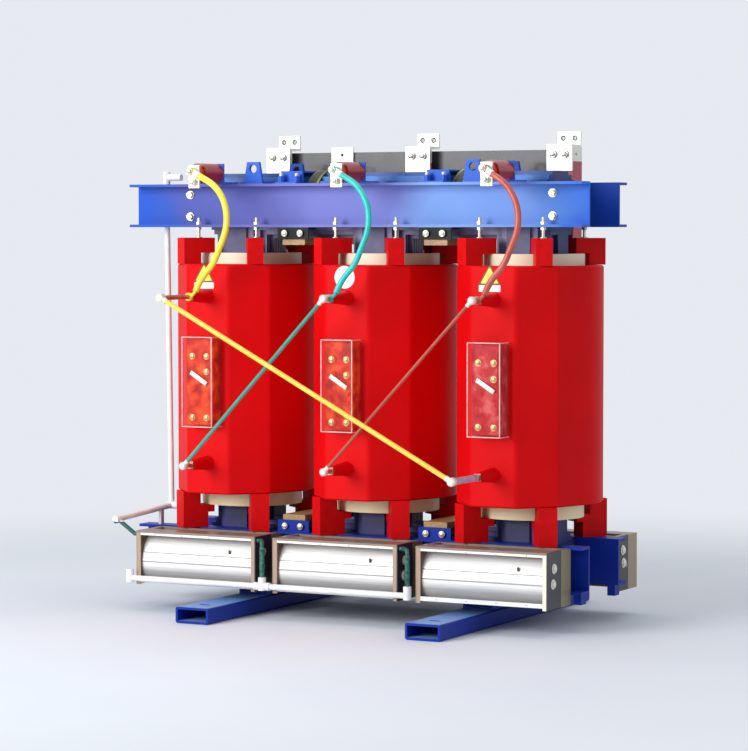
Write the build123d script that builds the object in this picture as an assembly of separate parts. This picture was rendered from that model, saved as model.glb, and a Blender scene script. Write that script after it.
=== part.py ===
from build123d import *
import math
import os

# Cast resin dry type transformer on two skids, with a row of cross-flow fans under each side.
# +X runs along the three coils, -Y is the high voltage side, +Z is up, floor at zero.

# ---- phases and core
PHASES = (-1, 0, 1)
CORE_R = 132.5                # circle the core steps fit in
CORE_STEPS = tuple(CORE_R - d for d in (7.5, 22.5, 40.0, 60.0, 85.0))   # half widths of the packets

# ---- low voltage coils
LV_IN = CORE_R + 17.5
LV_WALL = 44.0
LV_OUT = LV_IN + LV_WALL
LV_DUCT = (LV_IN + 18.0, LV_IN + 25.0)
DUCT_RIBS = 16
DUCT_RIB = 12.0

# ---- high voltage coils
COIL_DUCT, HV_WALL = 28.0, 42.0
HV_IN = LV_OUT + COIL_DUCT
HV_R = HV_IN + HV_WALL
HV_FRONT, HV_FLAT = HV_R + 71.0, 90.0      # flat front and its half width
HV_CORNER = (HV_R - 59.0, HV_FRONT - 120.0)
HV_EDGE = 6.0
BOSS_TIP = HV_FRONT + 120.0   # how far forward the boss ends
BOSS_R = (28.0, 18.0)
COIL_GAP = 72.0
PITCH = 2 * HV_R + COIL_GAP   # coil to coil
YOKE_HALF = PITCH + CORE_STEPS[0]

# ---- skids and feet
SKID_W, SKID_H, SKID_L, SKID_T = 140.0, 60.0, 1310.0, 9.0
SKID_X = PITCH - 122.0
SKID_SLOT_L, SKID_SLOT_W, SKID_SLOT_END = 46.0, 18.0, 95.0
SKID_SLOT_Y = SKID_L / 2 - SKID_SLOT_END
FOOT_W, FOOT_T, FOOT_H = 120.0, 10.0, 76.0

# ---- clamp channels
WEB_IN, WEB = CORE_R - 0.5, 9.0      # web inner face from the centre plane, web thickness
WEB_OUT = WEB_IN + WEB
TIP = WEB_OUT + 65.0          # flange tip
FLANGE = 10.0
LOW_H, UP_H, CLAMP_GAP = 172.0, 165.0, 1156.0    # channel heights and the clear height between them
LOW_Z = (SKID_H + FOOT_H, SKID_H + FOOT_H + LOW_H)
UP_Z = (LOW_Z[1] + CLAMP_GAP, LOW_Z[1] + CLAMP_GAP + UP_H)
UP_X = (-PITCH - 429.0, PITCH + 290.0)
LOW_X = (-PITCH - 390.0, PITCH + 293.0)
TIE_X = (-YOKE_HALF - 65.0, YOKE_HALF + 22.0)
TIE_DZ = 42.0                 # tie bolts above and below the channel middle
TIE_R, TIE_CLEAR = 8.0, 1.0
NUT_R, NUT_H = 13.0, 12.0
WASHER_R, WASHER_H = 16.0, 3.0
LUG_X, LUG_T = (-PITCH + 108.0, PITCH - 161.0), 14.0      # lifting lugs
LUG_BASE, LUG_TOP, LUG_H, EYE_R, EYE_Z = 82.0, 52.0, 83.0, 16.0, 57.0
LUG_Y = (WEB_OUT + TIP - LUG_T) / 2 + 1.5
PAD_X, PAD_W, PAD_H, PAD_L = PITCH + 264.0, 30.0, 40.0, 34.0

# ---- heights between the clamps
YOKE_Z = (LOW_Z[1] - 83.0, UP_Z[0] + 82.0)       # yoke centre heights, lower and upper
LV_Z = (LOW_Z[1] + 86.0, UP_Z[0] - 98.0)
HV_Z = (LV_Z[0] + 56.0, LV_Z[1] - 42.0)
HV_MID = (HV_Z[0] + HV_Z[1]) / 2
BOSS_Z = (HV_Z[0] + 120.0, HV_Z[1] - 121.0)
POCKET_W, POCKET_Z, POCKET_D = 106.0, (HV_MID - 163.0, HV_MID + 149.0), 12.0

# ---- support blocks between coils and clamps
BLK_ANGLE = 33.0              # off the depth axis
BLK_R = (LV_IN + 24.0, HV_R + 40.0)
BLK_STEP = HV_IN + 10.0
BLK_W = 61.0
BLK_TOP = UP_Z[0] - 40.0
LOW_ANGLE, LOW_W = 36.0, 69.0  # the lower blocks are wider and stand further out
LOW_FOOT, LOW_LEDGE = BLK_R[0] + 26.0, 28.0   # the foot is cut back under the inner ledge
STUD_XY = (HV_IN - 94.0, TIP - 22.0)
STUD_R, STUD_TOP, STUD_PAD = 6.0, UP_Z[0] + 36.0, 13.0
STUD_NUT_R, STUD_NUT_H = 11.0, 10.0

# ---- braces in the windows
BRACE_X, BRACE_W, BRACE_T = PITCH / 2, 96.0, 24.0
BRK_L, BRK_T, BRK_LAP = 134.0, 6.0, 4.0
BRK_H = CORE_STEPS[0] - (LOW_Z[1] - YOKE_Z[0]) + BRK_LAP    # the angle laps the plank's edge
BAND_X, BAND_W, BAND_T = (32.0 - PITCH / 2, 46.0 + PITCH / 2), 44.0, 3.0
BAND_LOW = YOKE_Z[1] + CORE_STEPS[3] + 0.5
STRAP_X, STRAP_W = (-PITCH / 2 - 47.0, PITCH / 2 - 25.0), 92.0
STRAP_BOLT, STRAP_NUT = 34.0, 22.0
BOLT_R, BOLT_H = 9.0, 8.0

# ---- tap panel
TAP_W, TAP_OVER, TAP_D, TAP_T = 132.0, 15.0, 80.0, 4.0
TAP_Z = (POCKET_Z[0] - TAP_OVER, POCKET_Z[1] + TAP_OVER)
TAP_COL, TAP_STEP = 31.0, 58.0
TAP_ROWS = tuple((TAP_Z[0] + TAP_Z[1]) / 2 - 19.0 + i * TAP_STEP for i in (2, 1, 0, -1, -2))
TAP_STUD_R, TAP_REACH = 7.0, 46.0
LINK_W, LINK_T = 17.0, 7.0
LINK_ROWS = (1, 2)            # rows the link bar bridges

# ---- high voltage connections
LUG_PLATE_W, LUG_PLATE_T, LUG_PLATE_H = 24.0, 8.0, 28.0
EYE_T = 12.0                  # eye of a lead's end lug
STAND_R, STAND_TIP = 9.0, BOSS_TIP + 201.0
COIL_LUG_Y = BOSS_TIP + 47.0           # ends of the short studs
POST_R, POST_CAP_R = 39.0, 30.0
POST_Y = (TIP + 34.0, TIP + 160.0, TIP + 180.0)
POST_Z = UP_Z[1] + 37.0
LINE_W, LINE_T, LINE_Z = 46.0, 8.0, (POST_Z - 55.0, POST_Z + 31.0)
LINE_SHIFT = (-22.0, -12.0, 0.0)     # the posts stand this far off their coils
LEAD_R = {"yellow": 12.0, "green": 11.0, "red": 11.5}
# corners of a lead: off the coil, short of the boss tip, above the top boss
LEAD_ROUTE = ((92.0, 34.0, 415.0), (143.0, 26.0, 338.0), (146.0, 18.0, 252.0),
              (95.0, 9.0, 125.0), (44.0, 1.0, 69.0))
LEAD_BEND = 165.0
DELTA_R = {"yellow": 9.0, "green": 7.5, "red": 6.5}

# ---- low voltage terminals
LVT_Y, LVT_T, LVT_W, LVT_TOP_W = TIP + 39.0, 10.0, 104.0, 93.0
LVT_Z = (UP_Z[1] + 47.0, UP_Z[1] + 147.0, UP_Z[1] + 197.0)
LVT_X = (-PITCH - 21.0, -2.0, PITCH - 3.0)
LVT_BACK = LVT_Y + 90.0
LVT_HOLE_R, LVT_HOLE_X = 6.5, 24.0
RISER_SPLIT, RISER_FOOT_Y = LVT_Z[0] + 36.0, LV_IN + 10.0
SIDE_LEG_Y, SIDE_HOLE_Y = LVT_Y + 93.0, LVT_Y + 39.0
NEU_Y, NEU_Z, NEU_T = LVT_Y + 55.0, (LVT_Z[0] - 4.0, LVT_Z[1] - 19.0), 10.0
NEU_X = (-PITCH - 50.0, PITCH - 10.0)
NEU_RISER = (-50.0, 10.0)
NPLATE_X, NPLATE_W, NPLATE_Z = -PITCH / 2 - 57.0, 96.0, (NEU_Z[0] + 45.0, NEU_Z[1] + 20.0)

# ---- fans
FAN_SHIFT, FAN_HALF = -12.0, 263.0
FAN_Y = (TIP + 26.0, TIP + 127.0, TIP + 203.0)        # inner face, inner end of the cover, outer face
FAN_Z = (LOW_Z[1] - 209.0, LOW_Z[1] - 10.0)
FAN_END, FAN_POST, FAN_SHEET = 4.0, 19.0, 2.5
SHELL_Y, SHELL_Z, SHELL_R = FAN_Y[2] - 142.0, FAN_Z[0] + 85.0, 130.0   # curved face of the fan
FAN_ZRIB, FAN_ZRAIL = (SHELL_Z + 33.0, SHELL_Z + 8.0), (FAN_Z[0] + 11.0, FAN_Z[0] + 24.0)
FAN_ZTOP = FAN_Z[1] - 9.0
RIB_R = 5.0
TONGUE_Z, FLOOR_Y = FAN_Z[0] + 141.0, FAN_Y[0] + 58.0
WHEEL_Y, WHEEL_Z, WHEEL_R = SHELL_Y + 45.0, SHELL_Z + 6.0, 70.0
WHEEL_END, MOTOR_L, MOTOR_R = 34.0, 62.0, 54.0
BLADES, BLADE_T, BLADE_W, DISC_T = 20, 2.5, 18.0, 4.0
SHAFT_R, BUSH_R, BUSH_CLEAR = 6.0, 14.0, 0.08
BRKT_T = 6.0

# ---- wiring conduit
PIPE_R, PIPE_X, PIPE_Y = 11.0, (-PITCH - 297.0, -PITCH - 316.0), WEB_IN - 16.0
PIPE_Z = (LOW_Z[1] + 70.0, UP_Z[1] + 35.0)
ELBOW = (-PITCH - 358.0, -FAN_Y[2], LOW_Z[1] + 37.0)
RUN_Y, RUN_Z = FAN_Y[2] + 17.0, FAN_Z[0] + 25.0
RUN_X, TEE_X = (-PITCH - 293.0, PITCH / 2), -PITCH / 2 - 10.0
SOCKET_R, SOCKET_L = 15.0, 34.0
FLEX_R, FLEX_IN = 8.0, (-FAN_Y[2] + 15.0, FAN_Z[1] - 7.0)


def save(name, *shapes):
    solids = [s for shape in shapes for s in shape.solids()]
    export_step(solids[0] if len(solids) == 1 else Compound(children=solids), f"parts/{name}.step")


def block(x, y, z):
    """Box from three (low, high) pairs."""
    return Pos((x[0] + x[1]) / 2, (y[0] + y[1]) / 2, (z[0] + z[1]) / 2) * Box(
        x[1] - x[0], y[1] - y[0], z[1] - z[0])


def rod_y(x, y, z, r):
    """Cylinder along Y between the two y values."""
    return Pos(x, (y[0] + y[1]) / 2, z) * Rot(X=90) * Cylinder(r, abs(y[1] - y[0]))


def rod_x(x, y, z, r):
    return Pos((x[0] + x[1]) / 2, y, z) * Rot(Y=90) * Cylinder(r, abs(x[1] - x[0]))


def rod_z(x, y, z, r):
    return Pos(x, y, (z[0] + z[1]) / 2) * Cylinder(r, z[1] - z[0])


def rod(a, b, r):
    a, b = Vector(*a), Vector(*b)
    return Solid.make_cylinder(r, (b - a).length, Plane(origin=a, z_dir=(b - a).normalized()))


def span(c, half):
    """The (low, high) pair around a centre."""
    return (c - half, c + half)


def joined(parts):
    out = parts[0]
    for p in parts[1:]:
        out = out + p
    return out


def side(y, s):
    """The (low, high) pair y, mirrored to the side s of the centre plane."""
    return (y[0], y[1]) if s > 0 else (-y[1], -y[0])


os.makedirs("parts", exist_ok=True)
DEPTH = [0.0] + [math.sqrt(CORE_R ** 2 - w ** 2) for w in CORE_STEPS]

# Core: every packet is as wide in the limb as it is high in the yoke, so the joints butt.
for name, k in zip(("left", "middle", "right"), PHASES):
    slabs = []
    for i, w in enumerate(CORE_STEPS):
        z = (YOKE_Z[0] + w, YOKE_Z[1] - w)
        for s in (1, -1):
            slabs.append(block(span(k * PITCH, w), side((DEPTH[i], DEPTH[i + 1]), s), z))
    save(f"core_limb_{name}", joined(slabs))
for name, zc in zip(("lower", "upper"), YOKE_Z):
    save(f"yoke_{name}", joined([block((-YOKE_HALF, YOKE_HALF), span(0, d), span(zc, w))
                                 for w, d in zip(CORE_STEPS, DEPTH[1:])]))

# Pressboard strips fill the gap between the thickest packet and the clamp webs.
save("yoke_pads", *[block((-YOKE_HALF, YOKE_HALF), side((DEPTH[-1], WEB_IN), s),
                          span(zc, CORE_STEPS[-1])) for zc in YOKE_Z for s in (1, -1)])


def channel(x, z, s):
    y_web, y_fl = side((WEB_IN, WEB_OUT), s), side((WEB_IN, TIP), s)
    return (block(x, y_web, z) + block(x, y_fl, (z[0], z[0] + FLANGE))
            + block(x, y_fl, (z[1] - FLANGE, z[1])))


def tie_points(z):
    mid = (z[0] + z[1]) / 2
    return [(x, mid + d) for x in TIE_X for d in (-TIE_DZ, TIE_DZ)]


def with_tie_holes(body, z, s):
    for x, h in tie_points(z):
        body -= rod_y(x, side((WEB_IN - WEB, WEB_OUT + WEB), s), h, TIE_R + TIE_CLEAR)
    return body


eyes = []
for name, s in (("front", -1), ("rear", 1)):
    up = with_tie_holes(channel(UP_X, UP_Z, s), UP_Z, s)
    for k in PHASES:
        for sx in (-1, 1):
            up -= rod_z(k * PITCH + sx * STUD_XY[0], s * STUD_XY[1],
                        (UP_Z[0] - FLANGE, UP_Z[0] + 2 * FLANGE), STUD_R + TIE_CLEAR)
    for lug_x in LUG_X:
        outline = make_face(Polyline((-LUG_BASE / 2, 0), (LUG_BASE / 2, 0), (LUG_TOP / 2, LUG_H),
                                     (-LUG_TOP / 2, LUG_H), close=True))
        lug = extrude(Plane.XZ * outline, LUG_T / 2, both=True)
        lug -= rod_y(0, (-LUG_T, LUG_T), EYE_Z, EYE_R)
        eyes.append(Pos(lug_x, s * LUG_Y, UP_Z[1]) * lug)
    save(f"upper_clamp_{name}", up)
    low = with_tie_holes(channel(LOW_X, LOW_Z, s), LOW_Z, s)
    # Small jacking pads are welded under each end.
    for sx in (-1, 1):
        low += block(span(sx * PAD_X, PAD_W / 2), side((WEB_OUT - WEB, WEB_OUT + PAD_L), s),
                     (LOW_Z[0] - PAD_H, LOW_Z[0] + FLANGE / 2))
    save(f"lower_clamp_{name}", low)
save("lifting_lugs", *eyes)

# Tie bolts draw each pair of clamps together beyond the yoke ends.
ties = []
for z in (LOW_Z, UP_Z):
    for x, h in tie_points(z):
        bolt = rod_y(x, (-WEB_OUT - NUT_H - 2 * WASHER_H, WEB_OUT + NUT_H + 2 * WASHER_H), h, TIE_R)
        for s in (-1, 1):
            bolt += rod_y(x, side((WEB_OUT, WEB_OUT + WASHER_H), s), h, WASHER_R)
            hexagon = extrude(RegularPolygon(NUT_R, 6), NUT_H)
            y0 = s * (WEB_OUT + WASHER_H)
            bolt += Pos(x, y0, h) * Rot(X=-s * 90) * hexagon
        ties.append(bolt)
save("tie_bolts", *ties)

# Skids: open ended tubes with one fixing slot near each end.
for name, s in (("left", -1), ("right", 1)):
    tube = block(span(s * SKID_X, SKID_W / 2), span(0, SKID_L / 2), (0, SKID_H))
    tube -= block(span(s * SKID_X, SKID_W / 2 - SKID_T), span(0, SKID_L),
                  (SKID_T, SKID_H - SKID_T))
    tube = fillet(tube.edges().filter_by(Axis.Y).group_by(Axis.Z)[0]
                  + tube.edges().filter_by(Axis.Y).group_by(Axis.Z)[-1], SKID_T)
    for sy in (-1, 1):
        tube -= Pos(s * SKID_X, sy * SKID_SLOT_Y, SKID_H / 2) * extrude(
            SlotOverall(SKID_SLOT_L, SKID_SLOT_W), SKID_H, both=True)
    save(f"skid_{name}", tube)

# Feet stand between skid and lower clamp: a short channel on edge.
feet = []
for sx in (-1, 1):
    for s in (-1, 1):
        z = (SKID_H, LOW_Z[0])
        y = side((WEB_IN, TIP), s)
        foot = block(span(sx * SKID_X, FOOT_W / 2), y, z)
        foot -= block(span(sx * SKID_X, FOOT_W / 2 - FOOT_T), side((WEB_IN + FOOT_T, TIP + FOOT_T), s),
                      (z[0] + FOOT_T, z[1] - FOOT_T))
        feet.append(foot)
save("clamp_feet", *feet)

# Low voltage coils: two foil cylinders with ribs across the cooling duct between them.
HVZ, LVZ = HV_Z, LV_Z
for name, k in zip(("left", "middle", "right"), PHASES):
    coil = rod_z(0, 0, LVZ, LV_OUT) - rod_z(0, 0, (LVZ[0] - WEB, LVZ[1] + WEB), LV_IN)
    duct = rod_z(0, 0, (LVZ[0] - WEB, LVZ[1] + WEB), LV_DUCT[1]) - rod_z(
        0, 0, (LVZ[0] - 2 * WEB, LVZ[1] + 2 * WEB), LV_DUCT[0])
    for i in range(DUCT_RIBS):
        duct -= Rot(Z=i * 360 / DUCT_RIBS) * block((LV_IN, LV_OUT), span(0, DUCT_RIB / 2),
                                                 (LVZ[0] - 2 * WEB, LVZ[1] + 2 * WEB))
    save(f"lv_coil_{name}", Pos(k * PITCH, 0, 0) * (coil - duct))

# High voltage castings: round behind, flat faced in front where the taps and bosses are.
cx, cy = HV_CORNER
r_corner = math.hypot(cx, cy)
a_tan = math.atan2(cx, cy) + math.acos(HV_R / r_corner)
tx, ty = HV_R * math.sin(a_tan), -HV_R * math.cos(a_tan)
front = Polyline((-tx, ty), (-cx, -cy), (-HV_FLAT, -HV_FRONT), (HV_FLAT, -HV_FRONT), (cx, -cy), (tx, ty))
outline = make_face(Wire([*front.edges(), ThreePointArc((tx, ty), (0, HV_R), (-tx, ty))]))
casting = extrude(outline, HV_Z[1] - HV_Z[0])
uprights = [e for e in casting.edges().filter_by(Axis.Z) if e.center().Y < ty - HV_EDGE]
casting = fillet(uprights, 5 * HV_EDGE)
rims = casting.edges().group_by(Axis.Z)
casting = chamfer([*rims[0], *rims[-1]], HV_EDGE)
casting = Pos(0, 0, HV_Z[0]) * casting
casting -= rod_z(0, 0, (HV_Z[0] - WEB, HV_Z[1] + WEB), HV_IN)
casting -= block(span(0, POCKET_W / 2), (-HV_FRONT - WEB, -HV_FRONT + POCKET_D), POCKET_Z)
for z in BOSS_Z:
    reach = BOSS_TIP - HV_FRONT + WEB
    casting += Pos(0, -HV_FRONT + WEB - reach / 2, z) * Rot(X=90) * Cone(*BOSS_R, reach)
for name, k in zip(("left", "middle", "right"), PHASES):
    save(f"hv_coil_{name}", Pos(k * PITCH, 0, 0) * casting)


# Support blocks: an outer foot on the casting, an inner ledge on the taller inner coil.
def support(width, inner, outer, back):
    """Block along +Y with its ledge heights, outer end face at BLK_R[1]."""
    lo, hi = (min(inner, back), max(inner, back)), (min(outer, back), max(outer, back))
    return (block(span(0, width / 2), (BLK_R[0], BLK_R[1]), lo)
            + block(span(0, width / 2), (BLK_STEP, BLK_R[1]), hi))


def around(shape, angle):
    return [Pos(k * PITCH, 0, 0) * Rot(Z=a) * shape for k in PHASES
            for a in (angle, -angle, 180 - angle, 180 + angle)]


save("blocks_upper", *around(support(BLK_W, LV_Z[1], HV_Z[1], BLK_TOP), BLK_ANGLE))
low_block = support(LOW_W, LV_Z[0], HV_Z[0], LOW_Z[1])
low_block -= block(span(0, LOW_W), (BLK_R[0] - WEB, LOW_FOOT), (LOW_Z[1] - WEB, LV_Z[0] - LOW_LEDGE))
save("blocks_lower", *around(low_block, LOW_ANGLE))

# Pressing studs: rod, pad and two nuts, gripping the lower flange of the upper clamp.
studs = []
for k in PHASES:
    for sx in (-1, 1):
        for s in (-1, 1):
            x, y = k * PITCH + sx * STUD_XY[0], s * STUD_XY[1]
            st = rod_z(x, y, (BLK_TOP, STUD_TOP), STUD_R)
            st += rod_z(x, y, (BLK_TOP, BLK_TOP + WASHER_H), STUD_PAD)
            for z in (UP_Z[0] - STUD_NUT_H, UP_Z[0] + FLANGE):
                st += Pos(x, y, z) * extrude(RegularPolygon(STUD_NUT_R, 6), STUD_NUT_H)
            studs.append(st)
save("pressing_studs", *studs)

# Window braces: a plank over each yoke between two coils, its ends behind angles on the flange tips.
braces, angles = [], []
for x in (-BRACE_X, BRACE_X):
    for zy, up, zf in ((YOKE_Z[0] + CORE_STEPS[0], 1, LOW_Z[1]), (YOKE_Z[1] - CORE_STEPS[0], -1, UP_Z[0])):
        z = (zy, zy + up * BRACE_T)
        braces.append(block(span(x, BRACE_W / 2), span(0, TIP - BRK_T), (min(z), max(z))))
        for s in (-1, 1):
            foot, leg_end = zf + up * BRK_T, zf + up * BRK_H
            leg = block(span(x, BRK_L / 2), side((TIP - BRK_T, TIP), s), (min(zf, leg_end), max(zf, leg_end)))
            leg += block(span(x, BRK_L / 2), side((WEB_OUT, TIP), s), (min(zf, foot), max(zf, foot)))
            for sx in (-1, 1):
                leg += rod_y(x + sx * BRK_L / 4, side((TIP, TIP + BOLT_H), s),
                             (zf + leg_end) / 2, BOLT_R)
            angles.append(leg)
save("window_braces", *braces)
save("window_brackets", *angles)

# Binding bands lie over the corners of the upper yoke, cross straps tie the clamp tops.
bands, straps = [], []
YOKE_TOP = YOKE_Z[1] + CORE_STEPS[0]
for x in BAND_X:
    w = span(x, BAND_W / 2)
    hoop = rod_x(w, 0, YOKE_Z[1], CORE_R + BAND_T) - rod_x((w[0] - WEB, w[1] + WEB), 0, YOKE_Z[1], CORE_R)
    bands.append(hoop & block(w, span(0, WEB_IN), (BAND_LOW, YOKE_TOP + PITCH)))
save("yoke_bands", *bands)
for x in STRAP_X:
    w = span(x, STRAP_W / 2)
    strap = block(w, span(0, LUG_Y + LUG_T), (UP_Z[1], UP_Z[1] + BRK_T))
    strap -= block(w, span(0, WEB_IN - BRK_T), (UP_Z[1] - BRK_T, UP_Z[1] + 2 * BRK_T))
    for s in (-1, 1):
        strap += block(w, side((WEB_IN - 2 * BRK_T, WEB_IN), s), (UP_Z[1], YOKE_TOP + BRK_T))
        for sx in (-1, 1):
            nut = extrude(RegularPolygon(NUT_R, 6), STRAP_NUT)
            strap += Pos(x + sx * STRAP_BOLT, s * (WEB_OUT + NUT_R), UP_Z[1] + BRK_T) * nut
    strap += block(w, span(0, WEB_IN), (YOKE_TOP, YOKE_TOP + BRK_T))
    straps.append(strap)

# Line terminals: resin post pointing forward, plate on its end, bracket on the clamp.
posts, holders, plates = [], [], []
for k, dx in zip(PHASES, LINE_SHIFT):
    x = k * PITCH + dx
    posts.append(rod_y(x, (-POST_Y[1], -POST_Y[0]), POST_Z, POST_R)
                 + rod_y(x, (-POST_Y[2], -POST_Y[1] + WEB), POST_Z, POST_CAP_R))
    h = block(span(x, POST_R), (-POST_Y[0], -POST_Y[0] + BRK_T), (UP_Z[1], POST_Z + POST_R))
    h += block(span(x, POST_R), (-POST_Y[0], -WEB_IN), (UP_Z[1], UP_Z[1] + BRK_T))
    holders.append(h)
    plate = block(span(x, LINE_W / 2), (-POST_Y[2] - LINE_T, -POST_Y[2]), LINE_Z)
    for z in (LINE_Z[0] + LINE_W / 2, LINE_Z[1] - LINE_W / 2):
        plate += rod_y(x, (-POST_Y[2] - LINE_T - BOLT_H, -POST_Y[2] - LINE_T), z, BOLT_R)
    plates.append(plate)
save("post_insulators", *posts)
save("top_brackets", *straps, *holders)
save("line_terminals", *plates)

# Coil terminals: a lug plate on each boss, and standoff rods for the outermost link.
lugs = []
for k in PHASES:
    for z, rod_here in ((BOSS_Z[0], k == 1), (BOSS_Z[1], k == -1)):
        x = k * PITCH
        lug = block(span(x, LUG_PLATE_W / 2), (-BOSS_TIP - LUG_PLATE_T, -BOSS_TIP), span(z, LUG_PLATE_H / 2))
        end = STAND_TIP if rod_here else COIL_LUG_Y
        lug += rod_y(x, (-end, -BOSS_TIP - LUG_PLATE_T / 2), z, STAND_R)
        lugs.append(lug)
save("coil_terminals", *lugs)

# Line leads: each drops from its line plate in one wide bend to the stud on the top boss.
lead_y = POST_Y[2] + LINE_T + BOLT_H
for (colour, r), k, dx in zip(LEAD_R.items(), PHASES, LINE_SHIFT):
    x, z = k * PITCH, LINE_Z[1] - LINE_W / 2
    inner = [(x + rx, y - BOSS_TIP, BOSS_Z[1] + rz) for rx, y, rz in LEAD_ROUTE]
    y_eye, z_eye = -BOSS_TIP - LUG_PLATE_T - EYE_T / 2, BOSS_Z[1]
    tail = (x + 2 * STAND_R + r, y_eye, z_eye + STAND_R + r)
    path = FilletPolyline((x + dx, -lead_y - r, z), *inner, tail, radius=LEAD_BEND)
    lead = sweep(Plane(origin=path @ 0, z_dir=path % 0) * Circle(r), path)
    lead += rod_y(x + dx, (-lead_y - 2 * r - WASHER_H, -lead_y), z, r + WASHER_H)
    lead += rod_y(x, span(y_eye, EYE_T / 2), z_eye, STAND_R + EYE_T / 2)
    lead += rod((x + STAND_R, y_eye, z_eye), tail, EYE_T / 2)
    lead -= rod_y(x, span(y_eye, EYE_T), z_eye, STAND_R)
    save(f"lead_{colour}", lead)

# Delta links: straight insulated rods from a top boss to the next bottom boss.
ENDS = {"yellow": (-1, 1, STAND_TIP), "green": (0, -1, COIL_LUG_Y), "red": (1, 0, COIL_LUG_Y)}
for colour, (ka, kb, y) in ENDS.items():
    r = DELTA_R[colour]
    axis_y = -y - r - WASHER_H
    a, b = (ka * PITCH, axis_y, BOSS_Z[1]), (kb * PITCH, axis_y, BOSS_Z[0])
    link = rod(a, b, r)
    for x, _, z in (a, b):
        link += rod_y(x, (-y - 2 * (r + WASHER_H), -y), z, STAND_R + r / 2)
    save(f"link_{colour}", link)

# Tap panels: clear cover, studs in the pocket, one bar across two of them.
covers, tap_studs, bars = [], [], []
pocket_y = -HV_FRONT + POCKET_D
for k in PHASES:
    x = k * PITCH
    cover = block(span(x, TAP_W / 2), (-HV_FRONT - TAP_D, -HV_FRONT), TAP_Z)
    cover -= block(span(x, TAP_W / 2 - TAP_T), (-HV_FRONT - TAP_D + TAP_T, -HV_FRONT),
                   (TAP_Z[0] + TAP_T, TAP_Z[1] - TAP_T))
    covers.append(cover)
    tip = pocket_y - TAP_REACH
    for z in TAP_ROWS:
        for sx in (-1, 1):
            tap_studs.append(rod_y(x + sx * TAP_COL, (tip, pocket_y), z, TAP_STUD_R))
    za, zb = TAP_ROWS[LINK_ROWS[0]], TAP_ROWS[LINK_ROWS[1]]
    length = math.hypot(2 * TAP_COL, za - zb)
    bar = extrude(Plane.XZ * SlotOverall(length + LINK_W, LINK_W), LINK_T)
    bar = Rot(Y=math.degrees(math.atan2(za - zb, 2 * TAP_COL))) * bar
    bars.append(Pos(x, tip, (za + zb) / 2) * bar)
save("tap_covers", *covers)
save("tap_terminals", *tap_studs, *bars)

# Low voltage side: insulated risers behind the coils, tinned two-hole plates on top.
risers, neutrals = [], []
for name, k, x0 in zip(("a", "b", "c"), PHASES, LVT_X):
    half, top_half = span(x0, LVT_W / 2), span(x0, LVT_TOP_W / 2)
    leg = (half[1] - LVT_T, half[1])
    y_a = (LVT_Y + LVT_T, LVT_Y + 2 * LVT_T)
    zr = (LV_Z[1] + LVT_T, RISER_SPLIT)
    riser = block(span(x0, LVT_W / 2 - LVT_T), (RISER_FOOT_Y, y_a[1]), (LV_Z[1], zr[0])) + block(half, y_a, zr)
    plate = block(half, (LVT_Y, LVT_Y + LVT_T), (LVT_Z[0], LVT_Z[1]))
    plate += block(top_half, (LVT_Y, LVT_BACK + LVT_T), (LVT_Z[1] - LVT_T, LVT_Z[1]))
    plate += block(top_half, (LVT_BACK, LVT_BACK + LVT_T), (LVT_Z[1] - LVT_T, LVT_Z[2]))
    plate += block(half, y_a, (RISER_SPLIT, LVT_Z[1] - LVT_T))
    mid, high = (RISER_SPLIT + LVT_Z[1] - LVT_T) / 2, (LVT_Z[1] + LVT_Z[2]) / 2
    if name == "c":
        # the last phase carries its bar round the corner as a side leg
        riser += block(leg, (y_a[0], SIDE_LEG_Y), zr)
        plate += block(leg, (y_a[0], SIDE_LEG_Y), (RISER_SPLIT, LVT_Z[1] - LVT_T))
        plate -= rod_x((leg[0] - LVT_T, leg[1] + LVT_T), SIDE_HOLE_Y, mid, LVT_HOLE_R)
    for sx in (-1, 1):
        plate -= rod_y(x0 + sx * LVT_HOLE_X, (LVT_BACK - LVT_T, LVT_BACK + 2 * LVT_T), high, LVT_HOLE_R)
        plate += rod_y(x0 + sx * LVT_HOLE_X, (LVT_Y - BOLT_H, LVT_Y), mid, BOLT_R)
    risers.append(riser)
    save(f"lv_terminal_{name}", plate)
    nx = (k * PITCH + NEU_RISER[0], k * PITCH + NEU_RISER[1])
    neutrals.append(block(nx, (NEU_Y - NEU_T, NEU_Y), (LV_Z[0] - NEU_T, NEU_Z[1]))
                    + block(nx, (RISER_FOOT_Y, NEU_Y), (LV_Z[0] - NEU_T, LV_Z[0])))
save("lv_risers", *risers)
save("neutral_risers", *neutrals)
bar = block(NEU_X, (NEU_Y, NEU_Y + NEU_T), NEU_Z)
save("neutral_bar", bar)
nplate = block(span(NPLATE_X, NPLATE_W / 2), (NEU_Y - NEU_T, NEU_Y), NPLATE_Z)
nplate -= rod_y(NPLATE_X, (NEU_Y - 2 * NEU_T, NEU_Y + NEU_T), sum(NPLATE_Z) / 2, LVT_HOLE_R)
save("neutral_terminal", nplate)


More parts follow.
